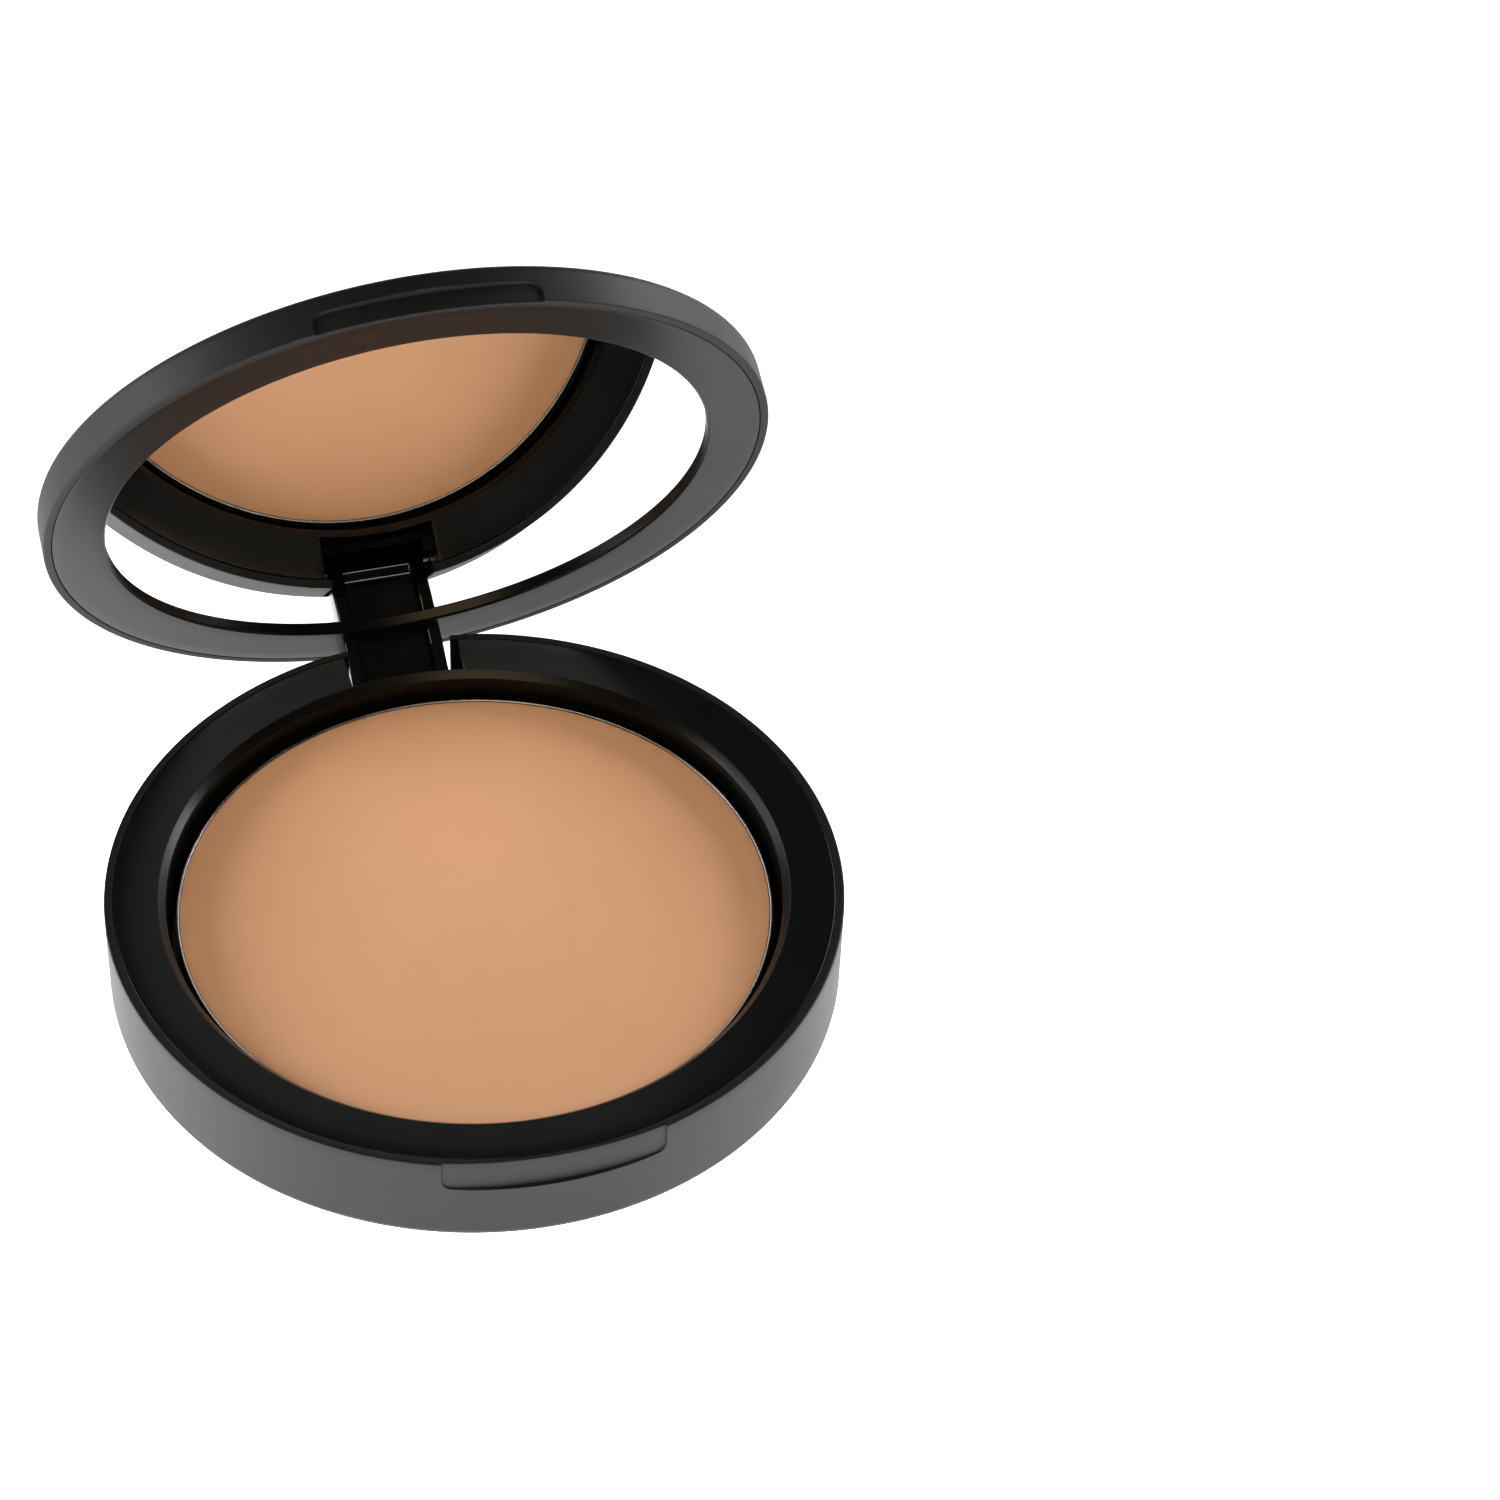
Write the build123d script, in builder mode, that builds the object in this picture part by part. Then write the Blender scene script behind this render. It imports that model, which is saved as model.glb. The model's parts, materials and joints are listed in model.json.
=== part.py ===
from build123d import *
import os

os.makedirs("parts", exist_ok=True)

# Powder compact, standing open on its flat underside.
# Frame: origin at the centre of the underside, +Z up, thumb notch at -Y, hinge at +Y.
# All sizes are in millimetres.

# ---------------------------------------------------------------- driving dimensions
PAN_DIAMETER = 59.0          # standard pressed-powder pan
OUTER_DIAMETER = 73.0        # widest circle of the case, at the seam
BASE_HEIGHT = 10.5           # underside to seam
SEAM_GAP = 0.15              # daylight between the two rims when shut
LID_HEIGHT = 4.4             # seam to the top of the lid
RIM_WALL = 0.84              # shell wall at the seam
SHELL_FLOOR = 1.0            # floor of the base shell
LID_ROOF = 1.2               # top plate of the lid shell
OPEN_ANGLE = 69.7            # lid angle from shut, as stored
HINGE_Y = 34.0               # hinge axis behind the centre
HINGE_Z = 3.3                # hinge axis above the underside

# ---------------------------------------------------------------- derived and local sizes
OUTER_R = OUTER_DIAMETER / 2
FOOT_R = OUTER_R - 0.2       # the base narrows a little towards its underside
TOP_R = OUTER_R - 0.05       # and the lid towards its top
SEAT_R = OUTER_R - RIM_WALL  # inner face of both shells
RING_R = SEAT_R - 0.07       # outer face of both rings: a fine seam stays open
LID_Z = BASE_HEIGHT + SEAM_GAP
CLOSED_HEIGHT = LID_Z + LID_HEIGHT
FOOT_ROUND = 1.0
TOP_ROUND = 1.2
RIM_ROUND = 0.18

# snap bead that holds each ring in its shell
BEAD_REACH = 0.2
BEAD_HALF = 0.35
GROOVE_SPARE = 0.06
BASE_BEAD_Z = 7.0
LID_BEAD_Z = LID_Z + 2.3

# thumb notch across the seam at the front
NOTCH_HALF_WIDTH = 11.0
NOTCH_BELOW = 3.45
NOTCH_ABOVE = 2.1
NOTCH_DEPTH = 0.5
NOTCH_FACE_R = 42.4
NOTCH_ROUND = 0.35
NOTCH_REACH = 4.0            # the cutter stands out in front of the case this far

# ring round the powder, with the well that holds the pan
RING_PLATE = 1.2
WELL_TOP_R = 30.45
WELL_FOOT_R = 30.1
WELL_CHAMFER = 0.7
WELL_WALL_R = 31.2
WELL_FLOOR_Z = 3.8
WELL_FLOOR = 1.0
SKIRT = 1.05
SKIRT_FOOT_Z = 5.6
RIB_INNER_R = 23.0
RIB_OUTER_R = 24.2
RIB_COUNT = 6
RIB_WIDTH = 1.0
SPOKE_MID_R = 13.8
SPOKE_LENGTH = 18.4

# pan and powder
PAN_R = PAN_DIAMETER / 2
PAN_HEIGHT = 4.0
PAN_SHEET = 0.3
PAN_DRAFT = 0.3
PAN_ROUND = 0.8
GLUE = 0.1
GLUE_R = 20.0
POWDER_DROP = 0.12           # powder edge below the pan's edge
POWDER_CROWN = 0.15          # rise of the powder towards its middle

# hinge: arm on the lid, pin held in two lugs of the base shell
ARM_HALF = 5.05
ARM_FRONT_Y = 31.25
ARM_BACK_Y = 34.9
BARREL_R = 2.1
PIN_R = 0.75
PIN_HALF = 7.7
PIN_CLEARANCE = 0.05
PIN_CHAMFER = 0.15
CHEEK = 1.25                 # width of each side cheek of the arm
WEB_SETBACK = 0.95           # the middle of the arm lies this far behind the cheeks
CHANNEL_FRONT_Z = 4.3        # foot of the channel at the front, and where it meets the web
CHANNEL_BACK_Z = 5.4
CHANNEL_REACH = 1.0
ARM_SHOULDER_Z = 8.6
FLANGE_HALF = 7.4
FLANGE_Y = 31.6
FLANGE = 1.2
SHELL_SLOT_HALF = 5.35
RING_SLOT_HALF = 5.9
RING_SLOT_FRONT_Y = 30.0     # ahead of the well wall, which bounds this slot
LUG_HALF_GAP = 5.35
LUG_OUTER = 8.0
LUG_FRONT_Y = 31.7
LUG_TOP_Z = 5.4
LUG_REACH_R = 36.0
KEEPER_INNER = 6.1
KEEPER_OUTER = 7.5
SWING_CLEARANCE = 0.1        # between the base's back rim and the lid's face as it swings
RELIEF_HALF = 12.0

# mirror and its frame in the lid
MIRROR_R = 30.9
MIRROR_SEAT_R = 31.0
MIRROR_OPENING_R = 30.3
MIRROR_RECESS = 0.7
MIRROR_GLASS = 1.5
MIRROR_SEAMED_EDGE = 0.25
FRAME_PLATE = 1.35
TAPE_R = 28.0
FRAME_CHAMFER = 0.2

# latch magnets, two in each half, hidden under the rings
MAGNET_R = 1.5
MAGNET_FIT = 0.04
MAGNET_CIRCLE_R = 32.85
MAGNET_ANGLE = 12.0
MAGNET_START = 270 - MAGNET_ANGLE
MAGNET_SPAN = 4 * MAGNET_ANGLE
BASE_MAGNET = 2.0
BASE_MAGNET_COVER = 0.8
LID_MAGNET = 1.5
LID_MAGNET_COVER = 0.5
MAGNET_BOSS_R = 1.75
MAGNET_BOSS_FOOT_Z = 7.6

# label in a shallow recess, its face flush with the underside
LABEL_R = 19.8
LABEL_RECESS_R = 20.0
LABEL = 0.2

# ---------------------------------------------------------------- lid placing
# The lid is drawn shut and stands turned back by OPEN_ANGLE about the hinge axis.
LID_TURN = (
    Location((0, HINGE_Y, HINGE_Z))
    * Rotation(-OPEN_ANGLE, 0, 0)
    * Location((0, -HINGE_Y, -HINGE_Z))
)


def on_lid(plane):
    """The plane that a lid sketch needs, from the plane it would need on a shut lid."""
    return Plane(LID_TURN * plane.location)


LID_XZ = on_lid(Plane.XZ)
LID_YZ = on_lid(Plane.YZ)
LID_AXIS = Axis(LID_XZ.origin, LID_XZ.y_dir)


def lid_level(height):
    """A level plane of the shut lid, at this height above the underside of the base."""
    return on_lid(Plane.XY.offset(height))


# ---------------------------------------------------------------- thumb notch cutter
# Straight-sided pocket whose back is a wide arc, so it is deepest in the middle.
notch_face_y = NOTCH_FACE_R - (OUTER_R - NOTCH_DEPTH)
with BuildPart() as thumb_notch:
    with BuildSketch(Plane.XY.offset(BASE_HEIGHT - NOTCH_BELOW)):
        with Locations((0, -OUTER_R)):
            Rectangle(2 * NOTCH_HALF_WIDTH, 2 * NOTCH_REACH)
        with Locations((0, notch_face_y)):
            Circle(NOTCH_FACE_R, mode=Mode.SUBTRACT)
    extrude(amount=NOTCH_BELOW + SEAM_GAP + NOTCH_ABOVE)
    notch_back = thumb_notch.faces().filter_by(GeomType.CYLINDER)
    fillet(notch_back.edges(), NOTCH_ROUND)

# ---------------------------------------------------------------- base shell
with BuildPart() as base_shell:
    with BuildSketch(Plane.XZ):
        with BuildLine():
            Polyline(
                (0, 0),
                (FOOT_R, 0),
                (OUTER_R, BASE_HEIGHT),
                (SEAT_R, BASE_HEIGHT),
                (SEAT_R, BASE_BEAD_Z + BEAD_HALF + BEAD_REACH),
                (SEAT_R + BEAD_REACH, BASE_BEAD_Z + BEAD_HALF),
                (SEAT_R + BEAD_REACH, BASE_BEAD_Z - BEAD_HALF),
                (SEAT_R, BASE_BEAD_Z - BEAD_HALF - BEAD_REACH),
                (SEAT_R, SHELL_FLOOR),
                (0, SHELL_FLOOR),
                close=True,
            )
        make_face()
    revolve(axis=Axis.Z)
    fillet(base_shell.faces().sort_by(Axis.Z)[0].edges(), FOOT_ROUND)
    rim_edges = base_shell.edges().filter_by(GeomType.CIRCLE).group_by(Axis.Z)[-1]
    fillet(rim_edges.sort_by(SortBy.RADIUS)[-1], RIM_ROUND)
    add(thumb_notch.part, mode=Mode.SUBTRACT)
    # label recess
    with BuildSketch(Plane.XY):
        Circle(LABEL_RECESS_R)
    extrude(amount=LABEL, mode=Mode.SUBTRACT)
    # rib that carries the well floor, on a circle and on spokes
    with BuildSketch(Plane.XY.offset(SHELL_FLOOR)):
        Circle(RIB_OUTER_R)
        Circle(RIB_INNER_R, mode=Mode.SUBTRACT)
        with PolarLocations(SPOKE_MID_R, RIB_COUNT):
            Rectangle(SPOKE_LENGTH, RIB_WIDTH)
    extrude(amount=WELL_FLOOR_Z - WELL_FLOOR - SHELL_FLOOR)
    # two hinge lugs
    with BuildSketch(Plane.XY.offset(SHELL_FLOOR)):
        for side in (-1, 1):
            with Locations((side * (LUG_HALF_GAP + LUG_OUTER) / 2, (LUG_FRONT_Y + LUG_REACH_R) / 2)):
                Rectangle(LUG_OUTER - LUG_HALF_GAP, LUG_REACH_R - LUG_FRONT_Y)
        Circle(LUG_REACH_R, mode=Mode.INTERSECT)
    extrude(amount=LUG_TOP_Z - SHELL_FLOOR)
    # open-topped cradles for the pin
    with BuildSketch(Plane.YZ.offset(-PIN_HALF)):
        with Locations((HINGE_Y, HINGE_Z)):
            Circle(PIN_R)
        with Locations((HINGE_Y, (HINGE_Z + LUG_TOP_Z) / 2)):
            Rectangle(2 * PIN_R, LUG_TOP_Z - HINGE_Z)
    extrude(amount=2 * PIN_HALF, mode=Mode.SUBTRACT)
    # way out for the hinge arm, through the back wall
    with BuildSketch(Plane.XY.offset(SHELL_FLOOR)):
        with Locations((0, OUTER_R)):
            Rectangle(2 * SHELL_SLOT_HALF, 2 * (OUTER_R - LUG_FRONT_Y))
    extrude(amount=BASE_HEIGHT, mode=Mode.SUBTRACT)
    # the back rim stays inside the circle that the lid's face sweeps about the hinge
    with BuildSketch(Plane.YZ.offset(-RELIEF_HALF)):
        with Locations((OUTER_R, BASE_HEIGHT)):
            Rectangle(2 * (OUTER_R - HINGE_Y), 2 * RING_PLATE)
        with Locations((HINGE_Y, HINGE_Z)):
            Circle(LID_Z - HINGE_Z - SWING_CLEARANCE, mode=Mode.SUBTRACT)
    extrude(amount=2 * RELIEF_HALF, mode=Mode.SUBTRACT)

# ---------------------------------------------------------------- base ring with the pan well
with BuildPart() as base_ring:
    with BuildSketch(Plane.XZ):
        with BuildLine():
            Polyline(
                (0, WELL_FLOOR_Z - WELL_FLOOR),
                (WELL_WALL_R, WELL_FLOOR_Z - WELL_FLOOR),
                (WELL_WALL_R, BASE_HEIGHT - RING_PLATE),
                (RING_R - SKIRT, BASE_HEIGHT - RING_PLATE),
                (RING_R - SKIRT, SKIRT_FOOT_Z),
                (RING_R, SKIRT_FOOT_Z),
                (RING_R, BASE_BEAD_Z - BEAD_HALF - BEAD_REACH + GROOVE_SPARE),
                (RING_R + BEAD_REACH, BASE_BEAD_Z - BEAD_HALF + GROOVE_SPARE),
                (RING_R + BEAD_REACH, BASE_BEAD_Z + BEAD_HALF - GROOVE_SPARE),
                (RING_R, BASE_BEAD_Z + BEAD_HALF + BEAD_REACH - GROOVE_SPARE),
                (RING_R, BASE_HEIGHT),
                (WELL_TOP_R + WELL_CHAMFER, BASE_HEIGHT),
                (WELL_TOP_R, BASE_HEIGHT - WELL_CHAMFER),
                (WELL_FOOT_R, WELL_FLOOR_Z),
                (0, WELL_FLOOR_Z),
                close=True,
            )
        make_face()
    revolve(axis=Axis.Z)
    # bosses and pockets for the magnets, open below
    with BuildSketch(Plane.XY.offset(MAGNET_BOSS_FOOT_Z)):
        with PolarLocations(MAGNET_CIRCLE_R, 2, MAGNET_START, MAGNET_SPAN):
            Circle(MAGNET_BOSS_R)
    extrude(amount=BASE_HEIGHT - RING_PLATE - MAGNET_BOSS_FOOT_Z)
    with BuildSketch(Plane.XY.offset(MAGNET_BOSS_FOOT_Z)):
        with PolarLocations(MAGNET_CIRCLE_R, 2, MAGNET_START, MAGNET_SPAN):
            Circle(MAGNET_R + MAGNET_FIT)
    extrude(amount=BASE_HEIGHT - BASE_MAGNET_COVER - MAGNET_BOSS_FOOT_Z, mode=Mode.SUBTRACT)
    # slot for the hinge arm, outside the wall of the well
    with BuildSketch(Plane.XY.offset(SHELL_FLOOR)):
        with Locations((0, OUTER_R)):
            Rectangle(2 * RING_SLOT_HALF, 2 * (OUTER_R - RING_SLOT_FRONT_Y))
        Circle(WELL_WALL_R, mode=Mode.SUBTRACT)
    extrude(amount=BASE_HEIGHT, mode=Mode.SUBTRACT)
    # keepers that close the pin cradles from above
    with BuildSketch(Plane.XY.offset(HINGE_Z + PIN_R)):
        for side in (-1, 1):
            with Locations((side * (KEEPER_INNER + KEEPER_OUTER) / 2, HINGE_Y)):
                Rectangle(KEEPER_OUTER - KEEPER_INNER, 2 * PIN_R - 2 * PIN_CLEARANCE)
    extrude(amount=BASE_HEIGHT - RING_PLATE - HINGE_Z - PIN_R)

# ---------------------------------------------------------------- pan, powder and glue
pan_z = WELL_FLOOR_Z + GLUE
with BuildPart() as powder_pan:
    with BuildSketch(Plane.XZ):
        with BuildLine():
            Polyline(
                (0, pan_z),
                (PAN_R - PAN_DRAFT, pan_z),
                (PAN_R, pan_z + PAN_HEIGHT),
                (PAN_R - PAN_SHEET, pan_z + PAN_HEIGHT),
                (PAN_R - PAN_DRAFT - PAN_SHEET, pan_z + PAN_SHEET),
                (0, pan_z + PAN_SHEET),
                close=True,
            )
        make_face()
    revolve(axis=Axis.Z)
    fillet(powder_pan.edges().filter_by(GeomType.CIRCLE).group_by(Axis.Z)[1], PAN_ROUND - PAN_SHEET)
    fillet(powder_pan.edges().filter_by(GeomType.CIRCLE).group_by(Axis.Z)[0], PAN_ROUND)

powder_foot_z = pan_z + PAN_SHEET
powder_edge_z = pan_z + PAN_HEIGHT - POWDER_DROP
powder_foot_r = PAN_R - PAN_DRAFT - PAN_SHEET
powder_edge_r = PAN_R - PAN_SHEET - PAN_DRAFT * POWDER_DROP / (PAN_HEIGHT - PAN_SHEET)
with BuildPart() as pressed_powder:
    with BuildSketch(Plane.XZ):
        with BuildLine():
            Polyline(
                (0, powder_edge_z + POWDER_CROWN),
                (0, powder_foot_z),
                (powder_foot_r, powder_foot_z),
                (powder_edge_r, powder_edge_z),
            )
            RadiusArc(
                (powder_edge_r, powder_edge_z),
                (0, powder_edge_z + POWDER_CROWN),
                -(powder_edge_r**2 + POWDER_CROWN**2) / (2 * POWDER_CROWN),
            )
        make_face()
    revolve(axis=Axis.Z)
    fillet(pressed_powder.edges().filter_by(GeomType.CIRCLE).group_by(Axis.Z)[0], PAN_ROUND)

with BuildPart() as pan_adhesive:
    with BuildSketch(Plane.XY.offset(WELL_FLOOR_Z)):
        Circle(GLUE_R)
    extrude(amount=GLUE)

# ---------------------------------------------------------------- hinge pin
with BuildPart() as hinge_pin:
    with BuildSketch(Plane.YZ.offset(-PIN_HALF)):
        with Locations((HINGE_Y, HINGE_Z)):
            Circle(PIN_R)
    extrude(amount=2 * PIN_HALF)
    chamfer(hinge_pin.edges().filter_by(GeomType.CIRCLE), PIN_CHAMFER)

# ---------------------------------------------------------------- magnets and label of the base
with BuildPart() as base_magnets:
    with BuildSketch(Plane.XY.offset(BASE_HEIGHT - BASE_MAGNET_COVER - BASE_MAGNET)):
        with PolarLocations(MAGNET_CIRCLE_R, 2, MAGNET_START, MAGNET_SPAN):
            Circle(MAGNET_R)
    extrude(amount=BASE_MAGNET)

with BuildPart() as base_label:
    with BuildSketch(Plane.XY):
        Circle(LABEL_R)
    extrude(amount=LABEL)

# ---------------------------------------------------------------- lid shell
with BuildPart() as lid_shell:
    with BuildSketch(LID_XZ):
        with BuildLine():
            Polyline(
                (0, CLOSED_HEIGHT),
                (TOP_R, CLOSED_HEIGHT),
                (OUTER_R, LID_Z),
                (SEAT_R, LID_Z),
                (SEAT_R, LID_BEAD_Z - BEAD_HALF - BEAD_REACH),
                (SEAT_R + BEAD_REACH, LID_BEAD_Z - BEAD_HALF),
                (SEAT_R + BEAD_REACH, LID_BEAD_Z + BEAD_HALF),
                (SEAT_R, LID_BEAD_Z + BEAD_HALF + BEAD_REACH),
                (SEAT_R, CLOSED_HEIGHT - LID_ROOF),
                (0, CLOSED_HEIGHT - LID_ROOF),
                close=True,
            )
        make_face()
    revolve(axis=LID_AXIS)
    lid_circles = lid_shell.edges().filter_by(GeomType.CIRCLE).group_by(LID_AXIS)
    fillet(lid_circles[-1], TOP_ROUND)
    lid_circles = lid_shell.edges().filter_by(GeomType.CIRCLE).group_by(LID_AXIS)
    fillet(lid_circles[0].sort_by(SortBy.RADIUS)[-1], RIM_ROUND)
    add(LID_TURN * thumb_notch.part, mode=Mode.SUBTRACT)

# ---------------------------------------------------------------- lid ring, the mirror's frame
with BuildPart() as lid_ring:
    with BuildSketch(LID_XZ):
        with BuildLine():
            Polyline(
                (MIRROR_OPENING_R + FRAME_CHAMFER, LID_Z),
                (RING_R, LID_Z),
                (RING_R, LID_BEAD_Z - BEAD_HALF - BEAD_REACH + GROOVE_SPARE),
                (RING_R + BEAD_REACH, LID_BEAD_Z - BEAD_HALF + GROOVE_SPARE),
                (RING_R + BEAD_REACH, LID_BEAD_Z + BEAD_HALF - GROOVE_SPARE),
                (RING_R, LID_BEAD_Z + BEAD_HALF + BEAD_REACH - GROOVE_SPARE),
                (RING_R, CLOSED_HEIGHT - LID_ROOF),
                (RING_R - SKIRT, CLOSED_HEIGHT - LID_ROOF),
                (RING_R - SKIRT, LID_Z + FRAME_PLATE),
                (MIRROR_SEAT_R, LID_Z + FRAME_PLATE),
                (MIRROR_SEAT_R, LID_Z + MIRROR_RECESS),
                (MIRROR_OPENING_R, LID_Z + MIRROR_RECESS),
                (MIRROR_OPENING_R, LID_Z + FRAME_CHAMFER),
                close=True,
            )
        make_face()
    revolve(axis=LID_AXIS)
    # hole that the hinge arm passes through
    with BuildSketch(lid_level(LID_Z)):
        with Locations((0, (ARM_FRONT_Y + ARM_BACK_Y) / 2)):
            Rectangle(2 * ARM_HALF, ARM_BACK_Y - ARM_FRONT_Y)
    extrude(amount=LID_HEIGHT, mode=Mode.SUBTRACT)
    # clearance in the skirt for the flange of the arm
    with BuildSketch(lid_level(LID_Z + FRAME_PLATE)):
        with Locations((0, (FLANGE_Y + ARM_BACK_Y) / 2)):
            Rectangle(2 * FLANGE_HALF, ARM_BACK_Y - FLANGE_Y)
    extrude(amount=LID_HEIGHT, mode=Mode.SUBTRACT)
    # pockets for the magnets
    with BuildSketch(lid_level(LID_Z + LID_MAGNET_COVER)):
        with PolarLocations(MAGNET_CIRCLE_R, 2, MAGNET_START, MAGNET_SPAN):
            Circle(MAGNET_R + MAGNET_FIT)
    extrude(amount=LID_HEIGHT, mode=Mode.SUBTRACT)

# ---------------------------------------------------------------- mirror and its foam tape
with BuildPart() as mirror:
    with BuildSketch(lid_level(LID_Z + MIRROR_RECESS)):
        Circle(MIRROR_R)
    extrude(amount=MIRROR_GLASS)
    chamfer(mirror.edges().filter_by(GeomType.CIRCLE), MIRROR_SEAMED_EDGE)

tape_z = LID_Z + MIRROR_RECESS + MIRROR_GLASS
with BuildPart() as mirror_tape:
    with BuildSketch(lid_level(tape_z)):
        Circle(TAPE_R)
    extrude(amount=CLOSED_HEIGHT - LID_ROOF - tape_z)

with BuildPart() as lid_magnets:
    with BuildSketch(lid_level(LID_Z + LID_MAGNET_COVER)):
        with PolarLocations(MAGNET_CIRCLE_R, 2, MAGNET_START, MAGNET_SPAN):
            Circle(MAGNET_R)
    extrude(amount=LID_MAGNET)

# ---------------------------------------------------------------- hinge arm
# Side view: a barrel round the pin, hulled to a shoulder under the lid ring.
flange_z = LID_Z + FRAME_PLATE
with BuildPart() as hinge_arm:
    with BuildSketch(LID_YZ.offset(-ARM_HALF)):
        with Locations((HINGE_Y, HINGE_Z)):
            Circle(BARREL_R)
        with Locations(((ARM_FRONT_Y + ARM_BACK_Y) / 2, (ARM_SHOULDER_Z + LID_Z) / 2)):
            Rectangle(ARM_BACK_Y - ARM_FRONT_Y, LID_Z - ARM_SHOULDER_Z)
        make_hull()
    extrude(amount=2 * ARM_HALF)
    # neck through the ring and flange behind it
    with BuildSketch(lid_level(LID_Z)):
        with Locations((0, (ARM_FRONT_Y + ARM_BACK_Y) / 2)):
            Rectangle(2 * ARM_HALF, ARM_BACK_Y - ARM_FRONT_Y)
    extrude(amount=FRAME_PLATE)
    with BuildSketch(lid_level(flange_z)):
        with Locations((0, (FLANGE_Y + ARM_BACK_Y) / 2)):
            Rectangle(2 * FLANGE_HALF, ARM_BACK_Y - FLANGE_Y)
    extrude(amount=FLANGE)
    # channel between the cheeks
    web_y = ARM_FRONT_Y + WEB_SETBACK
    with BuildSketch(LID_YZ.offset(CHEEK - ARM_HALF)):
        with BuildLine():
            Polyline(
                (ARM_FRONT_Y - CHANNEL_REACH, CHANNEL_FRONT_Z),
                (ARM_FRONT_Y - CHANNEL_REACH, LID_Z),
                (web_y, LID_Z),
                (web_y, CHANNEL_BACK_Z),
                close=True,
            )
        make_face()
    extrude(amount=2 * (ARM_HALF - CHEEK), mode=Mode.SUBTRACT)
    # bore for the pin
    with BuildSketch(LID_YZ.offset(-ARM_HALF)):
        with Locations((HINGE_Y, HINGE_Z)):
            Circle(PIN_R + PIN_CLEARANCE)
    extrude(amount=2 * ARM_HALF, mode=Mode.SUBTRACT)

# ---------------------------------------------------------------- export
pieces = {
    "base_shell": base_shell,
    "base_ring": base_ring,
    "powder_pan": powder_pan,
    "pressed_powder": pressed_powder,
    "pan_adhesive": pan_adhesive,
    "hinge_pin": hinge_pin,
    "base_magnets": base_magnets,
    "base_label": base_label,
    "lid_shell": lid_shell,
    "lid_ring": lid_ring,
    "mirror": mirror,
    "mirror_tape": mirror_tape,
    "lid_magnets": lid_magnets,
    "hinge_arm": hinge_arm,
}
for name, piece in pieces.items():
    piece.part.label = name
    export_step(piece.part, f"parts/{name}.step")
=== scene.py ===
"""Visual model of a round powder compact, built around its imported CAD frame.

The compact stands open on a pale floor: base and powder below, mirror lid behind. Outlines and
surfaces are worked out in millimetres and written to the meshes in metres. The pieces of the lid are
worked out as on a shut lid, then turned back about the hinge pin, as the stored part stands.
"""

import json
import math
from types import SimpleNamespace

import bmesh
import bpy
import numpy as np
from bpy.props import FloatProperty, FloatVectorProperty, PointerProperty
from mathutils import Matrix, Vector


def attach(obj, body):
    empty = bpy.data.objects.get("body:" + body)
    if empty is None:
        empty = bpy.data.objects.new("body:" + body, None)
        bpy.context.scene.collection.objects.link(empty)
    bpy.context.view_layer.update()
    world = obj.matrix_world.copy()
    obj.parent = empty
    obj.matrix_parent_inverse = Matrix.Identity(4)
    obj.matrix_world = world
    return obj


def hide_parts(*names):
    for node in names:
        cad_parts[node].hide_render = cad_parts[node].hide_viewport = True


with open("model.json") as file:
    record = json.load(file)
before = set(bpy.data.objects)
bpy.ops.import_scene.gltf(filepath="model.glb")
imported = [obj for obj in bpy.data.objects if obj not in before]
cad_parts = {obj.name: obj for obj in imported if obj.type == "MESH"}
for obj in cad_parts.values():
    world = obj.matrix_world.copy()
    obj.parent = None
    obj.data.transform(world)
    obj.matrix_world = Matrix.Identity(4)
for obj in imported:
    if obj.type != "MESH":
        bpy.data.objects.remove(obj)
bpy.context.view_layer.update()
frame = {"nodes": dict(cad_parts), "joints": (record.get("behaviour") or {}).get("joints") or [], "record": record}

bl_info = {
    "name": "Powder compact",
    "version": (1, 0, 0),
    "blender": (4, 5, 0),
    "location": "3D View > Sidebar > Compact",
    "description": "Builds the shells, rings, hinge arm, mirror and powder of a round compact",
    "category": "Add Mesh",
}

MM = 0.001
NOTCH_MARGIN = 0.3      # the dense rows and columns reach this far past the notch, in millimetres
NOTCH_SOFTNESS = 0.02   # rounding where the notch starts, in millimetres
NOTCH_BEYOND = 3        # how fast the notch's back comes forward beyond its outline
HINGE = frame["joints"][0]
HINGE_Y = HINGE["pos_m"][1] / MM
HINGE_Z = HINGE["pos_m"][2] / MM
OPEN_ANGLE = -HINGE["range_deg"][0]
LID_NODES = frame["record"]["behaviour"]["bodies"]["lid"]


# ---------------------------------------------------------------- places read from the frame
def turned(points, degrees):
    """The points turned back about the hinge pin: their y and z offsets from it go round a circle."""
    angle = math.radians(degrees)
    y = points[..., 1] - HINGE_Y
    z = points[..., 2] - HINGE_Z
    out = points.copy()
    out[..., 1] = HINGE_Y + y * math.cos(angle) + z * math.sin(angle)
    out[..., 2] = HINGE_Z - y * math.sin(angle) + z * math.cos(angle)
    return out


def shut_box(node):
    """Lowest and highest corner of a CAD node in millimetres, a lid node's as on the shut lid."""
    mesh = frame["nodes"][node].data
    points = np.empty(len(mesh.vertices) * 3)
    mesh.vertices.foreach_get("co", points)
    points = points.reshape(-1, 3) / MM
    if node in LID_NODES:
        points = turned(points, -OPEN_ANGLE)
    return points.min(0), points.max(0)


SHELL_HIGH = shut_box("base_shell")[1]
RING_LOW, RING_HIGH = shut_box("base_ring")
PAN_LOW, PAN_HIGH = shut_box("powder_pan")
POWDER_LOW, POWDER_HIGH = shut_box("pressed_powder")
LID_LOW, LID_HIGH = shut_box("lid_shell")
FRAME_LOW, FRAME_HIGH = shut_box("lid_ring")
GLASS_LOW, GLASS_HIGH = shut_box("mirror")
ARM_LOW, ARM_HIGH = shut_box("hinge_arm")


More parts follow.
